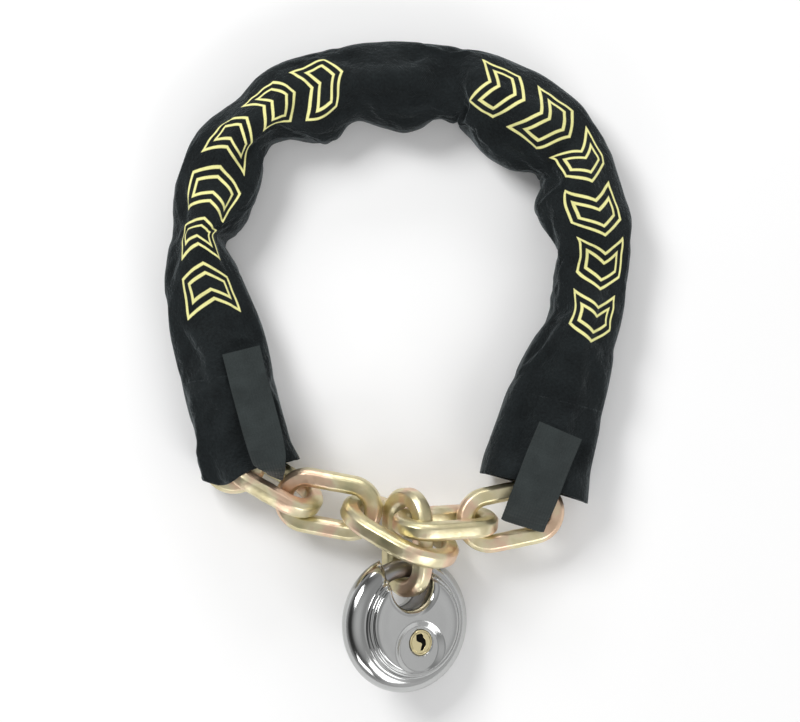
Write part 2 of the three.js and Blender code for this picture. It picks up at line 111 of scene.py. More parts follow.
CLOTH_CLEAR, SIDE_CLEAR = 1.1, 2.3  # from the chain inside, over it and beside it
CLOTH_LOW, CLOTH_TOP = 0.8, 37.2  # the tube's underside, and its ridge before the links raise it
RIPPLE = 1.2  # the most that the cloth's small unevenness raises or lowers its top
MOUTH_DRAW, MOUTH_DRAW_LENGTH = 2.5, 40  # how far the right mouth's upper lip is drawn back
LEFT_LIP, LEFT_LIP_LENGTH = 7.0, 30.0  # how far the left mouth's lips stand forward
BEND_HALF = 8  # half a length along the path to each side of a hinge; the points found with it are not used
STRAP_THICK = 1.5
STRAP_CLEAR = 0.9  # over the sleeve under it
STRAP_DROOP = 3.0  # the most that a strap hangs below the highest place across it
STRAP_EASING = 16  # rounds of smoothing
TUBE_DEPTH = 14  # cloth this far below a strap is the tube's lower side
RAY_START = 60  # above everything

# ---------------------------------------------------------------- the cloth simulation
SIM_SCALE = 10.0  # the cloth is simulated ten times as large
SIDE_HOLD, UNDER_HOLD, TOP_HOLD = 0.35, 0.1, 0.12  # how firmly the cloth keeps its start shape
END_HOLD, END_FADE = 0.9, 0.12  # the same at the mouths, and its loss with each row
HOLD_FLOOR_HALF = 4.0  # in simulated metres, as are the distances below
CLOTH_SETTINGS = {
    "quality": 6,
    "mass": 0.35,
    "tension_stiffness": 22,
    "compression_stiffness": 22,
    "shear_stiffness": 8,
    "bending_stiffness": 0.35,
    "tension_damping": 12,
    "compression_damping": 12,
    "bending_damping": 0.6,
    "air_damping": 3,
    "vertex_group_mass": "hold",
    "pin_stiffness": 0.6,
}
COLLISION_SETTINGS = {
    "distance_min": 0.008,
    "collision_quality": 3,
    "use_self_collision": True,
    "self_distance_min": 0.009,
}

# ---------------------------------------------------------------- small helpers
DOWN = Vector((0, 0, -1))


def catmull(points, per_span=24):
    """A smooth curve through points of any dimension (centripetal Catmull-Rom)."""
    p = np.asarray(points, float)
    p = np.vstack([2 * p[0] - p[1], p, 2 * p[-1] - p[-2]])
    out = []
    for a, b, c, d in zip(p, p[1:], p[2:], p[3:]):
        t1 = np.linalg.norm(b - a) ** 0.5
        t2 = t1 + np.linalg.norm(c - b) ** 0.5
        t3 = t2 + np.linalg.norm(d - c) ** 0.5
        for t in np.linspace(t1, t2, per_span, endpoint=False):
            a1 = (t1 - t) / t1 * a + t / t1 * b
            a2 = (t2 - t) / (t2 - t1) * b + (t - t1) / (t2 - t1) * c
            a3 = (t3 - t) / (t3 - t2) * c + (t - t2) / (t3 - t2) * d
            b1 = (t2 - t) / t2 * a1 + t / t2 * a2
            b2 = (t3 - t) / (t3 - t1) * a2 + (t - t1) / (t3 - t1) * a3
            out.append((t2 - t) / (t2 - t1) * b1 + (t - t1) / (t2 - t1) * b2)
    out.append(p[-2])
    return np.array(out)


def new_object(name, data):
    o = bpy.data.objects.new(name, data)
    bpy.context.scene.collection.objects.link(o)
    return o


def mesh_object(name, verts, faces, material=None, smooth=True, matrix=None):
    mesh = bpy.data.meshes.new(name)
    mesh.from_pydata([tuple(map(float, v)) for v in verts], [], faces)
    mesh.validate()
    mesh.update()
    if smooth:
        mesh.shade_smooth()
    o = new_object(name, mesh)
    if matrix is not None:
        mesh.transform(matrix)
    if material:
        mesh.materials.append(material)
    return o


def flat_square(name, half, **look):
    corners = [(-half, -half, 0), (half, -half, 0), (half, half, 0), (-half, half, 0)]
    return mesh_object(name, corners, [(0, 1, 2, 3)], **look)


def grid_faces(rows, cols, wrap_rows=False):
    """Faces between rows of points that each run round in a ring."""
    faces = []
    for i in range(rows if wrap_rows else rows - 1):
        for j in range(cols):
            below, right = (i + 1) % rows, (j + 1) % cols
            faces.append((i * cols + j, i * cols + right, below * cols + right, below * cols + j))
    return faces


def auto_smooth(o, degrees):
    """Sharp edges only where faces meet at more than this angle."""
    mesh = o.data
    mesh.shade_smooth()
    mesh.set_sharp_from_angle(angle=math.radians(degrees))


# ---------------------------------------------------------------- node building


class Value:
    """A shader value: arithmetic on it adds Math nodes."""

    def __init__(self, tree, socket):
        self.tree, self.socket = tree, socket

    def op(self, kind, *others, clamp=False):
        n = self.tree.nodes.new("ShaderNodeMath")
        n.operation = kind
        n.use_clamp = clamp
        for i, v in enumerate((self, *others)):
            if isinstance(v, Value):
                self.tree.links.new(v.socket, n.inputs[i])
            else:
                n.inputs[i].default_value = v
        return Value(self.tree, n.outputs[0])

    def __add__(self, v):
        return self.op("ADD", v)

    def __sub__(self, v):
        return self.op("SUBTRACT", v)

    def __mul__(self, v):
        return self.op("MULTIPLY", v)

    def __truediv__(self, v):
        return self.op("DIVIDE", v)

    def abs(self):
        return self.op("ABSOLUTE")

    def max(self, v):
        return self.op("MAXIMUM", v)

    def below(self, edge, soft):
        """1 where the value is under edge, 0 above it, over a soft step."""
        return ((self - edge) / -soft + 0.5).op("ADD", 0.0, clamp=True)


class Paint:
    """A material under construction, with its Principled shader."""

    def __init__(self, name, color, roughness, metallic=0.0, **plain):
        self.material = bpy.data.materials.new(name)
        self.material.use_nodes = True
        self.tree = self.material.node_tree
        self.shader = self.tree.nodes["Principled BSDF"]
        self.shader.inputs["Base Color"].default_value = (*color, 1)
        self.shader.inputs["Roughness"].default_value = roughness
        self.shader.inputs["Metallic"].default_value = metallic
        for key, value in plain.items():
            self.shader.inputs[key.replace("_", " ")].default_value = value
        self.material.diffuse_color = (*color, 1)

    def node(self, kind, inputs=(), **settings):
        n = self.tree.nodes.new("ShaderNode" + kind)
        for key, value in settings.items():
            setattr(n, key, value)
        for key, value in dict(inputs).items():
            if isinstance(value, Value):
                value = value.socket
            if isinstance(value, bpy.types.NodeSocket):
                self.tree.links.new(value, n.inputs[key])
            else:
                n.inputs[key].default_value = value
        return n

    def coords(self, kind="Object", scale=(1, 1, 1)):
        c = self.node("TexCoord").outputs[kind]
        return self.node("Mapping", {"Vector": c, "Scale": scale}).outputs[0]

    def noise(self, where, scale, detail=4, roughness=0.55):
        inputs = {"Vector": where, "Scale": scale, "Detail": detail, "Roughness": roughness}
        return Value(self.tree, self.node("TexNoise", inputs).outputs[0])

    def split(self, vector):
        """A vector's X and Y as values."""
        n = self.node("SeparateXYZ", {"Vector": vector})
        return Value(self.tree, n.outputs[0]), Value(self.tree, n.outputs[1])

    def cloth_place(self):
        """The place on a cloth in metres: as a vector, along it, and across it."""
        uv = self.node("UVMap", uv_map="cloth").outputs[0]
        return uv, *self.split(uv)

    def ramp(self, value, stops):
        n = self.node("ValToRGB", {"Fac": value})
        e = n.color_ramp.elements
        while len(e) < len(stops):
            e.new(0.5)
        for item, (at, color) in zip(e, stops):
            item.position = at
            item.color = (*color, 1) if len(color) == 3 else color
        return n.outputs[0]

    def mix(self, fac, a, b):
        n = self.node("Mix", data_type="RGBA")
        for socket, v in zip((n.inputs[0], n.inputs[6], n.inputs[7]), (fac, a, b)):
            v = v.socket if isinstance(v, Value) else v
            if isinstance(v, bpy.types.NodeSocket):
                self.tree.links.new(v, socket)
            else:
                socket.default_value = v if isinstance(v, float) else (*v, 1)
        return n.outputs[2]

    def set(self, name, value):
        value = value.socket if isinstance(value, Value) else value
        self.tree.links.new(value, self.shader.inputs[name])

    def bump(self, *layers):
        """Layers of (height, distance, strength), each laid on the one before."""
        before = None
        for height, distance, strength in layers:
            inputs = {"Height": height, "Distance": distance, "Strength": strength}
            if before:
                inputs["Normal"] = before
            before = self.node("Bump", inputs).outputs[0]
        self.set("Normal", before)


# ---------------------------------------------------------------- materials


def plated_steel():
    p = Paint("plated_steel", (0.62, 0.52, 0.29), 0.3, 0.96)
    where = p.coords()
    patches = p.noise(where, 55, 3, 0.5)
    color = p.ramp(
        patches,
        [(0.3, (0.50, 0.48, 0.27)), (0.42, (0.68, 0.60, 0.36)), (0.5, (0.78, 0.71, 0.48)),
         (0.6, (0.80, 0.56, 0.41)), (0.72, (0.62, 0.42, 0.29))],
    )
    fine = p.noise(where, 400, 5, 0.6)
    grime = p.noise(where, 130, 4, 0.6)
    color = p.mix(grime * 0.3, color, (0.80, 0.72, 0.50))
    # Paler colour along the bar's sharp edges, where pointiness is high: a painted highlight on the bevels.
    edge = Value(p.tree, p.node("NewGeometry").outputs["Pointiness"])
    painted_edge_highlight = ((edge - 0.52) * 9.0).op("ADD", 0.0, clamp=True)
    p.set("Base Color", p.mix(painted_edge_highlight * 0.6, color, (0.92, 0.87, 0.70)))
    p.set("Roughness", fine * 0.24 + grime * 0.16 + 0.17)
    p.bump((grime, 0.0006, 0.5), (fine, 0.0001, 0.6))
    return p.material


def print_shapes(u, v):
    """1 on the ink: an even band of double-outlined chevrons along two stretches of the sleeve's top."""
    pitch, cells, half_wide, half_band = 0.0262, 6, 0.0120, 0.0072
    line, soft, inset = 0.00068, 0.0003, 0.0038
    slope, middle = 0.6, 0.0036  # of a chevron's two arms
    squared = 0.857  # turns a distance along the band into one square to the arms
    total = None
    for start, offset0, offset1 in ((0.079, 0.003, -0.0055), (0.303, -0.0055, -0.006)):
        place = (u - start) / pitch
        cell = place.op("FLOOR")
        x = (place - cell - 0.5) * pitch
        across = (v - ((place / float(cells)) * (offset1 - offset0) + offset0)).abs()
        band = ((x + across * slope - middle).abs() * squared - half_band).max(across - half_wide)
        edge = band.abs().op("MINIMUM", (band + inset).abs())
        # cells are whole numbers, so this step falls between the last one and the next
        inside = (cell - (cells - 1) / 2).abs().below(cells / 2 - 0.25, 0.1)
        ink = edge.below(line, soft) * inside
        total = ink if total is None else total.max(ink)
    return total


def sleeve_fabric():
    p = Paint("sleeve_fabric", (0.014, 0.018, 0.019), 0.82, 0.0, Sheen_Weight=0.26, Sheen_Roughness=0.4)
    p.shader.inputs["Sheen Tint"].default_value = (0.75, 0.85, 0.88, 1)
    p.shader.inputs["Specular IOR Level"].default_value = 0.16
    uv, u, v = p.cloth_place()
    ink = print_shapes(u, v)
    weave_pitch = 0.0011
    turn = 2 * math.pi / weave_pitch
    weave = (u * turn).op("SINE") * (v * turn).op("SINE")
    lint = p.noise(uv, 900, 3, 0.6)
    crease = p.noise(uv, 60, 5, 0.62)
    # The colour is darker where the crease noise is low, the same places that its bump makes hollows:
    # painted shade in the creases, over a random lint tone.
    dark, light = (0.0035, 0.0050, 0.0056), (0.0125, 0.0165, 0.0178)
    lint_tone_and_crease_shade = p.ramp(lint * 0.5 + crease * 0.5, [(0.38, dark), (0.62, light)])
    thread = p.noise(uv, 2600, 2, 0.5)
    yellow = p.mix(thread, (0.80, 0.76, 0.26), (0.93, 0.91, 0.46))
    p.set("Base Color", p.mix(ink, lint_tone_and_crease_shade, yellow))
    p.bump((crease, 0.0045, 0.8), (weave, 0.00012, 0.5), (ink, 0.0003, 0.4))
    return p.material


def strap_webbing():
    p = Paint("strap_webbing", (0.026, 0.033, 0.034), 0.9, 0.0, Sheen_Weight=0.35, Sheen_Roughness=0.4)
    p.shader.inputs["Specular IOR Level"].default_value = 0.3
    uv, u, v = p.cloth_place()
    warp_pitch, weft_pitch = 0.0014, 0.0022
    warp, weft = (v * (2 * math.pi / warp_pitch)).op("SINE"), (u * (2 * math.pi / weft_pitch)).op("SINE")
    rib = warp * 0.6 + weft * 0.4
    fuzz = p.noise(uv, 1500, 3, 0.6)
    cloud = p.noise(uv, 90, 3, 0.5)
    dark, light = (0.018, 0.023, 0.023), (0.032, 0.040, 0.040)
    p.set("Base Color", p.ramp(fuzz * 0.5 + cloud * 0.5, [(0.35, dark), (0.65, light)]))
    p.bump((cloud, 0.0012, 0.4), (rib, 0.00015, 0.6), (fuzz, 0.0002, 0.4))
    return p.material


def turned_steel(name, color, roughness, marks=1.0):
    """Polished steel with fine round turning marks about the piece's own Z."""
    p = Paint(name, color, roughness, 1.0)
    where = p.coords()
    x, y = p.split(where)
    radius = (x * x + y * y).op("SQRT")
    rings = p.noise(p.node("CombineXYZ", {"X": radius}).outputs[0], 2600, 3, 0.7)
    smudge = p.noise(where, 70, 4, 0.6)
    p.set("Roughness", rings * 0.07 * marks + smudge * 0.10 + (roughness - 0.08))
    p.set("Base Color", p.mix(smudge * 0.25, color, tuple(c * 0.82 for c in color)))
    p.bump((rings, 0.00002 * marks, 0.5))
    return p.material


def plain_metal(name, color, roughness, grain=300.0):
    p = Paint(name, color, roughness, 1.0)
    where = p.coords()
    cloud, fine = p.noise(where, grain * 0.3, 3, 0.5), p.noise(where, grain, 4, 0.6)
    p.set("Base Color", p.mix(cloud * 0.5, color, tuple(c * 0.7 for c in color)))
    p.set("Roughness", fine * 0.2 + (roughness - 0.1))
    p.bump((fine, 0.00006, 0.5))
    return p.material


STEEL = plated_steel()
FABRIC = sleeve_fabric()
WEBBING = strap_webbing()
SHELL = turned_steel("polished_shell", (0.50, 0.505, 0.50), 0.13)
GUARD = plain_metal("hardened_steel", (0.36, 0.36, 0.37), 0.32)
BRASS = turned_steel("pale_brass", (0.80, 0.70, 0.42), 0.26, 0.6)
# Near-black paint for the plate at the keyway's bottom: painted shade.
KEYWAY_PAINTED_SHADE = plain_metal("keyway_painted_shade", (0.012, 0.011, 0.010), 0.6)
ZINC = plain_metal("cast_zinc", (0.45, 0.46, 0.47), 0.5)
WIRE = plain_metal("spring_wire", (0.62, 0.62, 0.62), 0.25)
SLOT_MATERIAL = {
    "chain_steel": STEEL, "sleeve_fabric": FABRIC, "strap_webbing": WEBBING, "stainless_shell": SHELL,
    "hardened_steel": GUARD, "zinc_core": ZINC, "brass": BRASS, "spring_steel": WIRE,
}
slot_of = {s["node"]: s["material_slot"] for s in frame["record"]["subparts"]}
for name, node in frame["nodes"].items():
    node.data.materials.clear()
    node.data.materials.append(SLOT_MATERIAL[slot_of[name]])

# ---------------------------------------------------------------- chain links
BODY_OF = {n: b for b, members in frame["record"]["behaviour"]["bodies"].items() for n in members}
LINKS = [n for n in frame["nodes"] if n.startswith("link_")]
SLEEVED_LINKS = ["link_s%02d" % k for k in range(1, 17)]  # from the left mouth to the right one


def link_frame(node):
    """A link's own frame and half sizes, from its CAD piece: X long, Y wide, Z thick."""
    co = np.unique(np.round([v.co for v in frame["nodes"][node].data.vertices], 6), axis=0)
    middle = co.mean(0)
    axes = np.linalg.svd(co - middle, full_matrices=False)[2]
    if np.linalg.det(axes) < 0:
        axes[2] *= -1
    local = (co - middle) @ axes.T
    half = (local.max(0) - local.min(0)) / 2
    centre = middle + ((local.max(0) + local.min(0)) / 2) @ axes
    m = Matrix(axes.T.tolist()).to_4x4()
    m.translation = Vector(centre)
    return m, half


def bar_section():
    """The chamfered square, each of its eight corners slightly rounded."""
    corners = [(BAR_HALF, -BAR_FLAT), (BAR_HALF, BAR_FLAT), (BAR_FLAT, BAR_HALF), (-BAR_FLAT, BAR_HALF)]
    corners += [(-x, -y) for x, y in corners]
    corners = np.array(corners)
    out = []
    for i, c in enumerate(corners):
        a, b = corners[i - 1] - c, corners[(i + 1) % 8] - c
        a, b = c + a / np.linalg.norm(a) * BAR_ROUND, c + b / np.linalg.norm(b) * BAR_ROUND
        out += [a, (a + 2 * c + b) / 4, b]
    return np.array(out) * MM


def link_mesh(name, node, crown_steps=20, straight_steps=8):
    """A link of smooth bar, butt-welded in the middle of one side, where a low bead runs round it."""
    bead_rise, bead_reach = 0.035, 0.0012  # a share of the bar, and metres along it
    matrix, half = link_frame(node)
    crown = half[1] - BAR_HALF * MM
    straight = half[0] - half[1]
    section = bar_section()
    rings = []
    for side in (1, -1):
        for a in np.linspace(-math.pi / 2, math.pi / 2, crown_steps + 1):
            a += 0 if side > 0 else math.pi
            out = np.array([math.cos(a), math.sin(a), 0])
            rings.append((np.array([side * straight, 0, 0]) + out * crown, out, 0))
        for t in np.linspace(0, 1, straight_steps + 1)[1:-1]:
            x = side * straight * (1 - 2 * t)
            out = np.array([0, side, 0])
            rings.append((np.array([x, side * crown, 0]), out, side))
    verts = []
    for k, (c, out, side) in enumerate(rings):
        bead = 1 + (bead_rise * math.exp(-((c[0] / bead_reach) ** 2)) if side > 0 else 0)
        for u, v in section:
            verts.append(c + out * u * bead + np.array([0, 0, v * bead]))
    o = mesh_object(name, verts, grid_faces(len(rings), len(section), wrap_rows=True), STEEL, matrix=matrix)
    auto_smooth(o, 38)
    return o


for node in LINKS:
    link = link_mesh(node + "_bar", node)
    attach(link, BODY_OF[node])
    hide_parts(node)

# ---------------------------------------------------------------- sleeve
path = catmull(SLEEVE_PATH)
path_s = np.r_[0, np.cumsum(np.linalg.norm(np.diff(path, axis=0), axis=1))]
PATH_LENGTH = path_s[-1]


def on_path(s):
    """Centreline points and unit vectors towards the inside of the loop."""
    s = np.asarray(s, float)
    # the direction is taken over 2 mm to each side
    p, before, after = (
        np.stack([np.interp(np.clip(s + step, 0, PATH_LENGTH), path_s, path[:, k]) for k in (0, 1)], -1)
        for step in (0.0, -2.0, 2.0)
    )
    t = after - before
    t /= np.linalg.norm(t, axis=-1, keepdims=True)
    return p, np.stack([t[..., 1], -t[..., 0]], -1)


def nearest_s(x, y):
    return path_s[np.linalg.norm(path - np.array([x, y]), axis=1).argmin()]


def resample(points, share):
    """Points at these shares of a curve's length."""
    length = np.r_[0, np.cumsum(np.linalg.norm(np.diff(points, axis=0), axis=1))]
    return np.stack([np.interp(np.asarray(share) * length[-1], length, points[:, k]) for k in (0, 1)], -1)


def chain_inside(s):
    """How far the chain reaches at each place along the path: towards the outside, the inside, and up."""
    samples, reach = 140, 8
    co = np.vstack([[v.co for v in frame["nodes"][name].data.vertices] for name in SLEEVED_LINKS]) / MM
    at = np.array([nearest_s(*v[:2]) for v in co])
    centre, side = on_path(at)
    off = ((co[:, :2] - centre) * side).sum(1)
    fine = np.linspace(0, PATH_LENGTH, samples)
    near = [np.abs(at - f) < reach for f in fine]
    out, into, up = (np.array([v[n].max() if n.any() else 0 for n in near]) for v in (-off, off, co[:, 2]))
    return [np.interp(s, fine, v) for v in (out, into, up)]


def lift_over_chain(pts, upper):
    """Raises the cloth's upper side wherever a link stands higher."""
    probe, tent_rounds = 2.6, 6
    links = [frame["nodes"][name].data for name in (*SLEEVED_LINKS, "link_l1", "link_r1")]
    verts = [v.co / MM for m in links for v in m.vertices]
    starts = np.cumsum([0] + [len(m.vertices) for m in links])
    faces = [[v + starts[i] for v in f.vertices] for i, m in enumerate(links) for f in m.polygons]
    chain = BVHTree.FromPolygons(verts, faces)
    spots = [(0, 0)] + [(probe * math.cos(a), probe * math.sin(a)) for a in np.arange(8) * math.pi / 4]
    need = np.zeros(pts.shape[:2])
    for i, j in np.argwhere(np.broadcast_to(upper, need.shape)):
        x, y = pts[i, j, :2]
        hits = [chain.ray_cast(Vector((x + dx, y + dy, RAY_START)), DOWN)[0] for dx, dy in spots]
        need[i, j] = max((h.z for h in hits if h), default=0)
    pts[..., 2] = np.maximum(pts[..., 2], need + CLOTH_CLEAR)
    # the cloth spans between the raised places like a tent
    for _ in range(tent_rounds):
        eased = (pts[1:-1, :, 2] * 2 + pts[2:, :, 2] + pts[:-2, :, 2]) / 4
        pts[1:-1, :, 2] = np.where(upper, np.maximum(pts[1:-1, :, 2], eased), pts[1:-1, :, 2])


def sleeve_edges(s):
    """The sleeve's outer and inner edge at each place along the path, and how high the chain stands."""
    corner_s = [nearest_s(*c) for c in OUTER_EDGE]
    corner_s[0], corner_s[-1] = 0, PATH_LENGTH
    outer = np.stack([np.interp(s, corner_s, [c[k] for c in OUTER_EDGE]) for k in (0, 1)], -1)
    kernel = np.array([1, 2, 1]) / 4
    for k in (0, 1):
        outer[1:-1, k] = np.convolve(outer[:, k], kernel, "valid")
    pinch_s = [0, *[nearest_s(*lobe[0]) for lobe in INNER_LOBES[1:]], PATH_LENGTH]
    inner = np.zeros((len(s), 2))
    for lobe, a, b in zip(INNER_LOBES, pinch_s, pinch_s[1:]):
        here = (s >= a) & (s <= b)
        inner[here] = resample(catmull(lobe), (s[here] - a) / (b - a))
    centre, side = on_path(s)
    chain_out, chain_in, chain_up = chain_inside(s)
    for edge, sign, need in ((outer, -1, chain_out), (inner, 1, chain_in)):
        reach = ((edge - centre) * side).sum(1) * sign
        edge += side * (sign * np.maximum(need + SIDE_CLEAR - reach, 0))[:, None]
    return outer, inner, side, chain_up


def add_creases(pts, s, share, up):
    """Grooves with a low swell on each side, from the inner edge outwards."""
    s = s[:, None] + 0 * up
    share = share + 0 * s
    for at, lean, depth, width, far in CREASES:
        line = at + lean * share
        fade = np.clip(1 - share / far, 0, 1) ** 0.7
        groove = np.exp(-(((s - line) / (width * (0.6 + share))) ** 2)) * fade
        swell = np.exp(-(((np.abs(s - line) - 1.9 * width) / width) ** 2)) * fade
        pts[..., 2] += np.clip(up, 0, 1) ** 0.5 * depth * (0.3 * swell - groove)


def add_ripple(pts, up, rounds=5):
    """Small unevenness of the top, so that the cloth settles into folds."""
    rng = np.random.default_rng(7)
    ripple = rng.normal(size=pts.shape[:2])
    for _ in range(rounds):
        ripple = (ripple + np.roll(ripple, 1, 1) + np.roll(ripple, -1, 1)) / 3
        ripple[1:-1] = (ripple[1:-1] + ripple[2:] + ripple[:-2]) / 3
    pts[..., 2] += ripple / np.abs(ripple).max() * RIPPLE * np.clip(up, 0, 1)


def shape_mouths(pts, s, side, across, up):
    """Draws the right mouth's upper lip back, and the left mouth's lips forward over the first link."""
    upper_at, upper_width = 0.55, 0.42  # near the outer corner
    lower_at, lower_width, lower_share = 0.1, 0.6, 0.8
    ahead = np.stack([-side[:, 1], side[:, 0]], -1)
    right_fade = np.clip(1 - (PATH_LENGTH - s) / MOUTH_DRAW_LENGTH, 0, 1)[:, None]
    left_fade = np.clip(1 - s / LEFT_LIP_LENGTH, 0, 1)[:, None] ** 1.5
    upper_lip = np.exp(-(((across + upper_at) / upper_width) ** 2)) * LEFT_LIP * (up > 0)
    lower_lip = np.exp(-(((across + lower_at) / lower_width) ** 2)) * LEFT_LIP * lower_share * (up <= 0)
    forward = -right_fade * MOUTH_DRAW * np.clip(up, 0, 1) ** 1.5 - left_fade * (upper_lip + lower_lip)
    pts[..., :2] += forward[..., None] * ahead[:, None]


def sleeve_start():
    """Rows of points round the tube as it lies gathered on the chain, and as it is when straight."""
    rows = int(round(FABRIC_LENGTH / CLOTH_STEP)) + 1
    cols = int(round(FABRIC_ROUND / CLOTH_STEP))
    s = np.linspace(0, PATH_LENGTH, rows)
    outer, inner, side, chain_up = sleeve_edges(s)
    window = np.hanning(13)  # eleven rows and a zero at each end
    ridge = np.convolve(np.pad(chain_up, 5, "edge"), window[1:-1] / window.sum(), "valid")
    ridge = np.maximum(ridge, chain_up) + CLOTH_CLEAR
    turn = 2 * math.pi * np.arange(cols) / cols  # 0 at the top, towards the inside
    up, sn = np.cos(turn), np.sin(turn)
    across = np.sign(sn) * np.abs(sn) ** 0.8
    # a rounded box: flatter underneath than on top
    level = np.sign(up) * np.abs(up) ** np.where(up > 0, 0.8, 0.5)
    middle, half = (outer + inner) / 2, (inner - outer) / 2
    pts = np.zeros((rows, cols, 3))
    pts[..., :2] = middle[:, None] + half[:, None] * across[None, :, None]
    top = np.minimum(ridge, CLOTH_TOP)
    pts[..., 2] = (CLOTH_LOW + top[:, None]) / 2 + level * (top[:, None] - CLOTH_LOW) / 2
    add_creases(pts, s, (1 - across) / 2, up)
    add_ripple(pts, up)
    shape_mouths(pts, s, side, across, up)
    lift_over_chain(pts, up > 0.05)
    straight = np.zeros_like(pts)
    radius = FABRIC_ROUND / 2 / math.pi
    straight[..., 0] = (np.arange(rows) * FABRIC_LENGTH / (rows - 1))[:, None]
    straight[..., 1] = radius * np.sin(turn)
    straight[..., 2] = radius * np.cos(turn)
    return pts, straight


def cloth_holders():
    """The CAD links and a floor, for the cloth to rest on."""
    holders = []
    for name in LINKS:
        data = frame["nodes"][name].data.copy()
        data.transform(Matrix.Scale(SIM_SCALE, 4))
        holders.append(new_object("hold_" + name, data))
    holders.append(flat_square("hold_floor", HOLD_FLOOR_HALF))
    for h in holders:
        h.modifiers.new("Collision", "COLLISION")
        h.collision.thickness_outer = 0.006
        h.collision.cloth_friction = 12
    return holders


def hold_cloth(o, rows, cols):
    """The ends stay where the straps tie them, and the sides keep to their edges."""
    hold = o.vertex_groups.new(name="hold")
    for i in range(rows):
        end = min(i, rows - 1 - i)
        for j in range(cols):
            side_on = abs(math.sin(2 * math.pi * j / cols))
            under = j > cols / 4 and j < cols * 3 / 4
            weight = SIDE_HOLD * side_on**4 + (UNDER_HOLD if under else TOP_HOLD)
            hold.add([i * cols + j], max(weight, END_HOLD - END_FADE * end), "REPLACE")


def simulate_sleeve(start, straight, frames=36):
    """Lets the cloth settle on the chain from its start shape, with the straight tube as its rest."""
    rows, cols = start.shape[:2]
    scene = bpy.context.scene
    big = start.reshape(-1, 3) * MM * SIM_SCALE
    o = mesh_object("sleeve_cloth", big, grid_faces(rows, cols))
    o.shape_key_add(name="start")
    rest = o.shape_key_add(name="straight")
    rest.data.foreach_set("co", (straight.reshape(-1, 3) * MM * SIM_SCALE).ravel())
    rest.value = 0
    holders = cloth_holders()
    hold_cloth(o, rows, cols)
    m = o.modifiers.new("Cloth", "CLOTH")
    m.settings.rest_shape_key = rest
    for group, values in ((m.settings, CLOTH_SETTINGS), (m.collision_settings, COLLISION_SETTINGS)):
        for key, value in values.items():
            setattr(group, key, value)
    scene.frame_start, scene.frame_end = 1, frames
    m.point_cache.frame_start, m.point_cache.frame_end = 1, frames
    for f in range(1, frames + 1):
        scene.frame_set(f)
    e = o.evaluated_get(bpy.context.evaluated_depsgraph_get())
    mesh = e.to_mesh()
    co = np.zeros(len(mesh.vertices) * 3)
    mesh.vertices.foreach_get("co", co)
    e.to_mesh_clear()
    scene.frame_set(1)
    for h in [o, *holders]:
        mesh = h.data
        bpy.data.objects.remove(h)
        bpy.data.meshes.remove(mesh)
    return co.reshape(rows, cols, 3) / MM / SIM_SCALE


start, straight = sleeve_start()
cloth = simulate_sleeve(start, straight)
rows, cols = cloth.shape[:2]

# One fine mesh of the whole tube gives the shape and the shading of its pieces.
around = np.arange(cols) * FABRIC_ROUND / cols
around = np.where(around > FABRIC_ROUND / 2, around - FABRIC_ROUND, around) * MM
whole = mesh_object("sleeve_whole", cloth.reshape(-1, 3) * MM, grid_faces(rows, cols), FABRIC)
uv = whole.data.uv_layers.new(name="cloth")
along = np.linspace(0, PATH_LENGTH, rows) * MM
for face in whole.data.polygons:
    js = [v % cols for v in face.vertices]
    for loop, v in zip(face.loop_indices, face.vertices):
        i, j = divmod(v, cols)
        w = around[j]
        # underneath, where the sign changes, a face keeps the sign of its first side
        if max(js) - min(js) == 1 and abs(abs(w) - FABRIC_ROUND / 2 * MM) < CLOTH_STEP * MM:
            w = math.copysign(w, around[min(js)] if min(js) > 0 else w)
        uv.data[loop].uv = (along[i], w)
whole.modifiers.new("Smooth", "SMOOTH").iterations = 1
whole.modifiers.new("Fine", "SUBSURF").levels = 1
fine = bpy.data.meshes.new_from_object(whole.evaluated_get(bpy.context.evaluated_depsgraph_get()))
bpy.data.objects.remove(whole)
fine.shade_smooth()

# The hinges inside the sleeve, in order along the chain. The tube is cut halfway between them.
by_child = {j["child"]: j for j in frame["joints"]}
by_pair = {frozenset((j["parent"], j["child"])): j for j in frame["joints"]}
hinge_at = [by_pair[frozenset(p)]["pos_m"][:2] for p in zip(SLEEVED_LINKS, SLEEVED_LINKS[1:])]
hinge_s = [nearest_s(p[0] / MM, p[1] / MM) for p in hinge_at]
mid_s = [(a + b) / 2 for a, b in zip(hinge_s, hinge_s[1:])]
cuts = [0.0, *mid_s, PATH_LENGTH]
fine_uv = np.zeros(len(fine.loops) * 2)
fine.uv_layers["cloth"].data.foreach_get("uv", fine_uv)
fine_uv = fine_uv.reshape(-1, 2)
loops_of = [list(f.loop_indices) for f in fine.polygons]
verts_of = [list(f.vertices) for f in fine.polygons]
face_s = np.array([fine_uv[l, 0].mean() for l in loops_of]) / MM
fine_co = np.zeros(len(fine.vertices) * 3)
fine.vertices.foreach_get("co", fine_co)
fine_co = fine_co.reshape(-1, 3)
above_floor = 0.0003  # metres
fine_co[:, 2] = np.maximum(fine_co[:, 2], above_floor)
fine_no = np.array([v.normal for v in fine.vertices])
sleeve_pieces = []
last = len(cuts) - 2
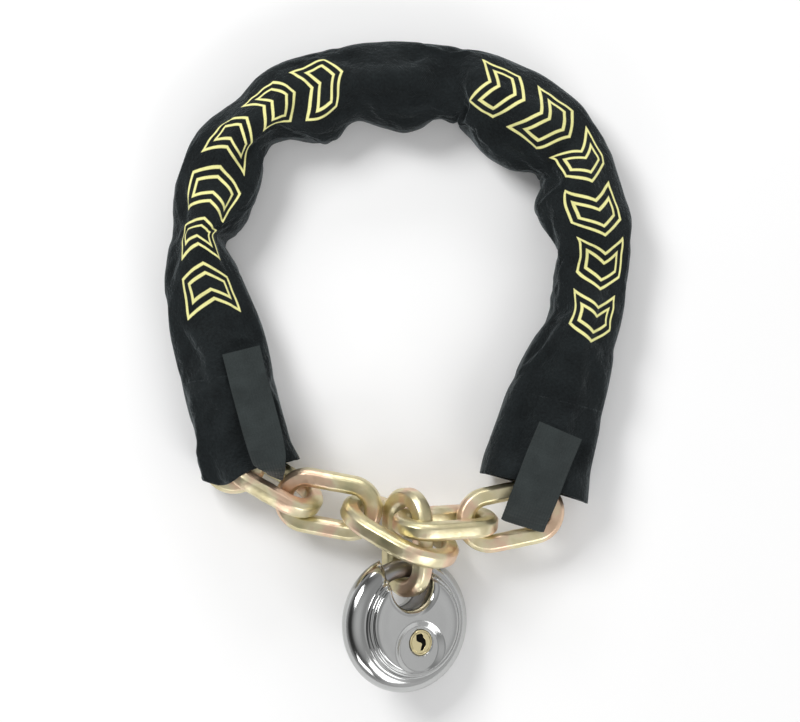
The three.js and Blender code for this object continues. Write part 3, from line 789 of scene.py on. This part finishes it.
for k, (a, b) in enumerate(zip(cuts, cuts[1:])):
    picked = [i for i, s in enumerate(face_s) if a <= s and (s < b or k == last)]
    used = sorted({v for i in picked for v in verts_of[i]})
    new = {v: n for n, v in enumerate(used)}
    faces = [[new[v] for v in verts_of[i]] for i in picked]
    piece = mesh_object("sleeve_fold_%02d" % (k + 1), fine_co[used], faces, FABRIC)
    layer = piece.data.uv_layers.new(name="cloth")
    flat = [fine_uv[l] for i in picked for l in loops_of[i]]
    layer.data.foreach_set("uv", np.array(flat, np.float32).ravel())
    piece.data.normals_split_custom_set_from_vertices([fine_no[v] for v in used])
    first, second = SLEEVED_LINKS[k : k + 2]
    (p0, p1), _ = on_path([hinge_s[k] - BEND_HALF, hinge_s[k] + BEND_HALF])
    if k in (0, last):
        # the mouths show the cloth's thickness
        rim = piece.modifiers.new("Hem", "SOLIDIFY")
        rim.thickness, rim.offset = 0.0012, -1
    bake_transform(piece)
    sleeve_pieces.append(piece)
bpy.data.meshes.remove(fine)
# the CAD sleeve's eight pieces are hidden, and the folds lie where they were
for k in range(1, 9):
    near = sleeve_pieces[2 * k - 2]
    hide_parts("sleeve_%d" % k)

# ---------------------------------------------------------------- straps
cloth_tree = BVHTree.FromPolygons([tuple(v) for v in cloth.reshape(-1, 3)], grid_faces(rows, cols))


def lay_on_cloth(centre, side, width, shares, thick):
    """Heights of a strap's middle surface: on the sleeve where there is sleeve under it, eased between."""
    least = np.zeros((len(centre), len(shares)))
    heights = np.zeros_like(least)
    for i, (c, s, w) in enumerate(zip(centre, side, width)):
        for k, a in enumerate(shares):
            x, y = (c + s * a * w)[:2]
            hit = cloth_tree.ray_cast(Vector((x, y, RAY_START)), DOWN)[0]
            # nothing under the strap, or only the tube's lower side, leaves it at its own height
            on_top = hit is not None and hit.z > c[2] - TUBE_DEPTH
            least[i, k] = hit.z + thick / 2 + STRAP_CLEAR if on_top else 0
            heights[i, k] = least[i, k] if on_top else c[2]
    for _ in range(STRAP_EASING):
        # the webbing is too stiff for its edges to hang far below its middle
        least = np.maximum(least, heights.max(1, keepdims=True) - STRAP_DROOP)
        eased = heights.copy()
        eased[1:-1] = (heights[:-2] + 2 * heights[1:-1] + heights[2:]) / 4
        eased[:, 1:-1] = (eased[:, :-2] + 2 * eased[:, 1:-1] + eased[:, 2:]) / 4
        heights = np.maximum(eased, least)
    return heights


def ribbon(name, stations, thick, per_span=10, across_steps=12, sag=0.5):
    """A strap through stations of (x, y, z, width, side vector), all in millimetres.

    Its edges curl up by turns along its length.
    """
    curl_turn, curl_share = 0.9, 0.4
    fine = catmull(stations, per_span)
    centre, width, side = fine[:, :3], fine[:, 3], fine[:, 4:7]
    along = np.gradient(centre, axis=0)
    along /= np.linalg.norm(along, axis=1, keepdims=True)
    side = side - (side * along).sum(1, keepdims=True) * along
    side /= np.linalg.norm(side, axis=1, keepdims=True)
    up = np.cross(side, along)
    # round the section: top from one edge to the other, then back underneath
    t = np.linspace(-0.5, 0.5, across_steps + 1)
    laid = lay_on_cloth(centre, side, width, t, thick)
    middle = np.c_[centre[:, :2], laid[:, across_steps // 2]]
    length = np.r_[0, np.cumsum(np.linalg.norm(np.diff(middle, axis=0), axis=1))]
    edge = np.sqrt(np.clip(1 - (np.abs(t) * 2) ** 14, 0, 1)) * 0.5 * thick
    ring = list(enumerate(edge))
    ring += [(k, -edge[k]) for k in range(across_steps - 1, 0, -1)]
    verts, uvs = [], []
    for i in range(len(centre)):
        curl = max(sag * math.sin(i * curl_turn) * curl_share, 0)
        for k, b in ring:
            a = t[k]
            lift = curl * (2 * a) ** 2
            point = centre[i] + side[i] * a * width[i] + up[i] * (b + lift)
            point[2] += laid[i, k] - centre[i, 2]
            verts.append(point * MM)
            uvs.append((length[i] * MM, a * width[i] * MM))
    n = len(ring)
    faces = grid_faces(len(centre), n)
    # each end is closed by faces from the top to the underside
    for row, flip in ((0, True), (len(centre) - 1, False)):
        for j in range(across_steps):
            corners = (j, j + 1, (n - j - 1) % n, (n - j) % n)
            face = list(dict.fromkeys(row * n + k for k in corners))
            if len(face) > 2:
                faces.append(face[::-1] if flip else face)
    o = mesh_object(name, verts, faces, WEBBING)
    layer = o.data.uv_layers.new(name="cloth")
    for loop in o.data.loops:
        layer.data[loop.index].uv = uvs[loop.vertex_index]
    auto_smooth(o, 60)
    return o, length[-1], width.mean()


LEFT_STRAP = [
    (-79, 8, 38.6, 19, 0.96, 0.27, 0), (-76, -4, 38.8, 19, 0.95, 0.28, 0),
    (-73, -16, 38.6, 19, 0.95, 0.3, 0), (-67.5, -36, 38.6, 19, 0.92, 0.38, 0),
    (-64.8, -46.6, 38.6, 17, 0.94, 0.1, 0), (-63.3, -51, 35, 13, 0.95, 0, 0),
    (-62.8, -53.6, 29, 10, 0.9, -0.2, 0), (-62.8, -55.4, 23.5, 9, 0.87, -0.4, 0),
]
RIGHT_STRAP = [
    (80, -32, 38.6, 23, 0.94, -0.34, 0), (74, -46, 38.8, 23, 0.94, -0.35, 0),
    (68.5, -60, 38.4, 23, 0.94, -0.3, 0), (65.2, -68.6, 35.6, 23, 0.955, -0.28, 0),
    (62.9, -74.8, 31.6, 22.5, 0.965, -0.26, 0), (61.2, -79.9, 27.8, 22.5, 0.966, -0.26, 0),
]


for side, stations, inside, outside in (
    ("left", LEFT_STRAP, "link_s01", "link_l1"),
    ("right", RIGHT_STRAP, "link_s16", "link_r1"),
):
    strap, length, width = ribbon("strap_%s_webbing" % side, stations, STRAP_THICK)
    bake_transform(strap)
    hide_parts("strap_" + side)

# ---------------------------------------------------------------- padlock
turn_joint = by_child["shackle"]
swing_joint = by_child["padlock"]
MIDDLE_OVER_JOINT = 3.5  # from the shackle joint's point up to the padlock's middle plane
PAD_Z = Vector(turn_joint["axis"]).normalized()
PAD_ORIGIN = Vector(turn_joint["pos_m"]) + PAD_Z * MIDDLE_OVER_JOINT * MM
RIM_POINT = Vector(swing_joint["pos_m"]) - PAD_ORIGIN
RIM_R = RIM_POINT.length / MM
PAD_Y = RIM_POINT.normalized()
PAD_X = PAD_Y.cross(PAD_Z)
PAD = Matrix((PAD_X, PAD_Y, PAD_Z)).transposed().to_4x4()
PAD.translation = PAD_ORIGIN

FACE_Z = 12.5
RIM_ROLL_R = 7.8
SEAM_Z = 0.05  # half the gap at the welded seam between the two shells
MOUTH_R, MOUTH_Y, MOUTH_ROLL = 11.5, 18.8, 3.6
DISH, DISH_FLOOR_R, DISH_TOP_R, DISH_DEPTH = (0.6, -12.2), 11.2, 14.0, 1.6
PLUG, PLUG_R, RING_R = (2.0, -9.3), 5.3, 6.3

# The face from its middle outwards: flat, a step down, a thin ring and the valley before the rim.
FACE_PROFILE = [
    (0, 12.5), (8, 12.5), (16, 12.5), (22.6, 12.48), (23.5, 12.3), (24, 11.8), (24.35, 11),
    (24.8, 10.6), (25.3, 10.75), (25.7, 10.7), (26.1, 10.1), (26.5, 9.1), (27, 8.15),
]


def padlock_profile(rim_steps=40, flat_steps=44, fine_step=0.3):
    """The shell's radius and height, in wide steps over the flat face and fine ones beyond it."""
    flat_r = 21
    a = np.radians(np.linspace(88, 0, rim_steps))
    rim = np.stack([RIM_R + RIM_ROLL_R * np.cos(a), RIM_ROLL_R * np.sin(a)], -1)
    p = np.vstack([catmull(FACE_PROFILE, 10), rim[1:]])
    s = np.r_[0, np.cumsum(np.linalg.norm(np.diff(p, axis=0), axis=1))]
    even = np.r_[np.linspace(0, flat_r, flat_steps)[:-1], np.arange(flat_r, s[-1], fine_step), s[-1]]
    return np.stack([np.interp(even, s, p[:, 0]), np.interp(even, s, p[:, 1])], -1)


def mouth_distance(x, y):
    """How far a place is outside the mouth: straight sides that end in a half circle."""
    return np.hypot(x, np.minimum(y - MOUTH_Y, 0)) - MOUTH_R


def smooth_min(a, b, k):
    h = np.clip(0.5 + 0.5 * (b - a) / k, 0, 1)
    return b + (a - b) * h - k * h * (1 - h)


def shell_mesh(name, front, around=420):
    """A shell from its turned profile, with the rolled mouth and, in front, the keyway's dish."""
    dish_ease, well_gap, well_depth = 0.25, 0.35, 2.5
    wall_reach, wall_slope, wall_kept = 3, 3, 1.2
    profile = padlock_profile()
    turn = 2 * math.pi * np.arange(around) / around
    x = profile[:, :1] * np.cos(turn)
    y = profile[:, :1] * np.sin(turn)
    z = np.repeat(profile[:, 1:], around, 1)
    z[-1] = SEAM_Z
    if front:
        q = np.hypot(x - DISH[0], y - DISH[1])
        slope = FACE_Z - DISH_DEPTH + (q - DISH_FLOOR_R) * DISH_DEPTH / (DISH_TOP_R - DISH_FLOOR_R)
        dish = np.maximum(slope, FACE_Z - DISH_DEPTH)
        dish = np.where(q > DISH_TOP_R + 3, 99, dish)  # well away from it the face is left alone
        z = smooth_min(z, dish, dish_ease)
        hole = np.hypot(x - PLUG[0], y - PLUG[1])
        z = np.where(hole < RING_R + well_gap, FACE_Z - DISH_DEPTH - well_depth, z)
    roll = MOUTH_ROLL
    d = mouth_distance(x, y)
    near = np.clip(roll - d, 0, roll)
    drop = roll - np.sqrt(np.clip(roll**2 - near**2, 0, None))
    z = z - np.where(d < roll, drop, 0)
    # What lies inside the mouth's outline becomes its wall.
    inside = d < 0
    e = 1e-3
    gx = (mouth_distance(x + e, y) - mouth_distance(x - e, y)) / (2 * e)
    gy = (mouth_distance(x, y + e) - mouth_distance(x, y - e)) / (2 * e)
    wall = np.clip(-d, 0, wall_reach)
    x, y = np.where(inside, x - d * gx, x), np.where(inside, y - d * gy, y)
    z = np.where(inside, z - wall * wall_slope, z)
    z = np.maximum(z, SEAM_Z)
    if not front:
        x, z = -x, -z
    verts = np.stack([x, y, z], -1).reshape(-1, 3)
    keep = (d > -wall_kept).ravel()
    faces = [f for f in grid_faces(len(profile), around) if all(keep[v] for v in f)]
    used = sorted({v for f in faces for v in f})
    new = {v: n for n, v in enumerate(used)}
    faces = [[new[v] for v in f] for f in faces]
    o = mesh_object(name, verts[used] * MM, faces, SHELL)
    o.matrix_world = PAD
    return o


def lathe(name, profile, material, centre=(0, 0), sides=96, closed=True):
    """A turned piece from its profile of radius and height."""
    turn = 2 * math.pi * np.arange(sides) / sides
    verts = [(centre[0] + r * math.cos(t), centre[1] + r * math.sin(t), z) for r, z in profile for t in turn]
    faces = grid_faces(len(profile), sides, wrap_rows=closed)
    o = mesh_object(name, np.array(verts) * MM, faces, material)
    o.matrix_world = PAD
    auto_smooth(o, 35)
    return o


def flat_plate(name, outlines, z0, z1, material, bevel=0.0, centre=(0, 0)):
    """A plate from closed outlines in millimetres; an outline inside another is a hole."""
    curve = bpy.data.curves.new(name, "CURVE")
    curve.dimensions = "2D"
    curve.fill_mode = "BOTH"
    for outline in outlines:
        spline = curve.splines.new("POLY")
        spline.points.add(len(outline) - 1)
        for point, (x, y) in zip(spline.points, outline):
            point.co = ((x + centre[0]) * MM, (y + centre[1]) * MM, 0, 1)
        spline.use_cyclic_u = True
    curve.extrude = (z1 - z0) / 2 * MM - bevel * MM
    curve.bevel_depth = bevel * MM
    curve.bevel_resolution = 2
    if bevel:
        curve.offset = -bevel * MM
    tmp = new_object(name, curve)
    bpy.context.view_layer.update()
    mesh = bpy.data.meshes.new_from_object(tmp.evaluated_get(bpy.context.evaluated_depsgraph_get()))
    bpy.data.objects.remove(tmp)
    o = new_object(name, mesh)
    mesh.transform(Matrix.Translation((0, 0, (z0 + z1) / 2 * MM)))
    mesh.materials.clear()
    mesh.materials.append(material)
    o.matrix_world = PAD
    auto_smooth(o, 35)
    return o


def circle(r, n=96):
    return [(r * math.cos(2 * math.pi * i / n), r * math.sin(2 * math.pi * i / n)) for i in range(n)]


def rides(o, body, node):
    """Puts a piece on its body, in place of a CAD node if there is one to replace."""
    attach(o, body)
    if node:
        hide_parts(node)


rides(shell_mesh("front_shell_polished", True), "padlock", "front_shell")
rides(shell_mesh("rear_shell_polished", False), "padlock", "rear_shell")

floor_z = FACE_Z - DISH_DEPTH
ring_profile = [
    (PLUG_R + 0.15, floor_z - 1.0), (PLUG_R + 0.15, floor_z + 0.1), (PLUG_R + 0.3, floor_z + 0.22),
    (RING_R - 0.25, floor_z + 0.22), (RING_R, floor_z + 0.02), (RING_R, floor_z - 0.3),
    (RING_R - 0.3, floor_z - 1.0),
]
rides(lathe("keyway_ring", ring_profile, BRASS, PLUG), "padlock", "keyway_collar")

# The plug with its crooked keyway.
KEYWAY = [
    (-2.4, 4.2), (0.6, 4.5), (1.5, 3.7), (1.5, 2.3), (2.6, 1.2), (2.8, -1.4), (1.7, -2.9),
    (0.8, -4.0), (-0.7, -4.0), (-0.1, -2.3), (0.6, -0.9), (-0.2, 0), (-1.6, 0.5), (-2.5, 1.4),
]
PLUG_BACK, PLUG_BEVEL = -1.6, 0.12
KEYWAY_BACK, KEYWAY_FRONT = 9.6, 10.5  # a near-black plate at the keyway's bottom: painted shade in the keyway's depth
TAIL_R, TAIL_BACK, TAIL_FRONT = 1.8, -7.6, -1.7
outlines = [circle(PLUG_R), KEYWAY]
plug = flat_plate("key_plug_body", outlines, PLUG_BACK, floor_z + PLUG_BEVEL, BRASS, PLUG_BEVEL, PLUG)
rides(plug, "plug", "key_plug")
# A near-black plate inside the keyway, as painted shade in its depth.
depth = flat_plate("keyway_shade_plate", [KEYWAY], KEYWAY_BACK, KEYWAY_FRONT, KEYWAY_PAINTED_SHADE, centre=PLUG)
rides(depth, "plug", None)
tail_profile = [(0.01, TAIL_BACK), (TAIL_R, TAIL_BACK), (TAIL_R, TAIL_FRONT), (0.01, TAIL_FRONT)]
rides(lathe("key_plug_tail", tail_profile, BRASS, PLUG, sides=40, closed=False), "plug", None)

# The smooth bar of the shackle over its faceted CAD piece.
BAR_R = 4.56
SHACKLE_SPAN = (-42.0, 66.0)  # degrees from the middle of the mouth


def shackle_bar(steps=60, n=40):
    points = []
    for a in np.radians(90 + np.linspace(*SHACKLE_SPAN, steps)):
        out = np.array([math.cos(a), math.sin(a), 0])
        for t in 2 * math.pi * np.arange(n) / n:
            points.append(out * (RIM_R + BAR_R * math.cos(t)) + np.array([0, 0, BAR_R * math.sin(t)]))
    verts = np.array(points) * MM
    faces = grid_faces(steps, n)
    faces += [list(range(n))[::-1], [(steps - 1) * n + k for k in range(n)]]
    o = mesh_object("shackle_bar", verts, faces, GUARD)
    o.matrix_world = PAD
    auto_smooth(o, 50)
    return o


rides(shackle_bar(), "shackle", None)

# ---------------------------------------------------------------- floor, light and camera
HALF_FLOOR = 3.0
floor_paint = Paint("floor", (0.93, 0.93, 0.93), 0.6)
mottle = floor_paint.noise(floor_paint.coords(), 6, 3, 0.5)
floor_paint.set("Base Color", floor_paint.mix(mottle, (0.92, 0.92, 0.92), (0.95, 0.95, 0.95)))
floor = flat_square("floor", HALF_FLOOR, material=floor_paint.material, smooth=False)


def area_light(name, at, size, power, size_y=None):
    """A light that points at the middle of the floor."""
    data = bpy.data.lights.new(name, "AREA")
    data.energy, data.size = power, size
    if size_y:
        data.shape, data.size_y = "RECTANGLE", size_y
    o = new_object(name, data)
    o.location = at
    o.rotation_euler = (-Vector(at)).to_track_quat("-Z", "Y").to_euler()


area_light("key", (-0.9, 0.9, 1.3), 0.7, 20)
area_light("fill", (0.8, -1.2, 1.0), 0.8, 8)
area_light("rear", (0.1, 1.6, 0.7), 1.2, 7, size_y=0.3)
area_light("front", (-0.5, -1.5, 0.8), 0.9, 5, size_y=0.4)

world = bpy.data.worlds.new("studio")
bpy.context.scene.world = world
world.use_nodes = True
wt = world.node_tree
direction = wt.nodes.new("ShaderNodeTexCoord").outputs["Generated"]
parts = wt.nodes.new("ShaderNodeSeparateXYZ")
wt.links.new(direction, parts.inputs[0])


def sky_ramp(stops):
    """Grey by height above the horizon."""
    ramp = wt.nodes.new("ShaderNodeValToRGB")
    wt.links.new(parts.outputs[2], ramp.inputs[0])
    while len(ramp.color_ramp.elements) < len(stops):
        ramp.color_ramp.elements.new(0.5)
    for element, (position, grey) in zip(ramp.color_ramp.elements, stops):
        element.position = position
        element.color = (grey, grey, grey, 1)
    return ramp.outputs[0]


# The studio is bright on the right and has a dark band on the left.
right = sky_ramp(
    [(0.0, 0.7), (0.2, 0.75), (0.4, 0.6), (0.52, 1.0), (0.66, 0.45), (0.85, 0.5), (1.0, 0.8)]
)
left = sky_ramp(
    [(0.0, 0.35), (0.14, 0.6), (0.28, 0.15), (0.5, 0.04), (0.7, 0.06), (0.86, 0.45), (1.0, 0.8)]
)
rightness = wt.nodes.new("ShaderNodeMapRange")
rightness.inputs["From Min"].default_value = -0.25
rightness.inputs["From Max"].default_value = 0.45
wt.links.new(parts.outputs[0], rightness.inputs["Value"])
sky = wt.nodes.new("ShaderNodeMix")
sky.data_type = "RGBA"
wt.links.new(rightness.outputs[0], sky.inputs[0])
wt.links.new(left, sky.inputs[6])
wt.links.new(right, sky.inputs[7])
background = wt.nodes["Background"]
wt.links.new(sky.outputs[2], background.inputs["Color"])
background.inputs["Strength"].default_value = 0.9

SENSOR = 36  # millimetres
CAMERA_UP = 1.2  # above the chain's middle plane
VIEW_WIDTH = 0.4032  # what the picture spans at that plane
camera_data = bpy.data.cameras.new("camera")
camera_data.sensor_width = SENSOR
camera_data.lens = SENSOR * CAMERA_UP / VIEW_WIDTH
camera = new_object("camera", camera_data)
camera.location = (0, 0.0025, CAMERA_UP + 0.0185)
bpy.context.scene.camera = camera
bpy.context.scene.view_settings.view_transform = "Standard"
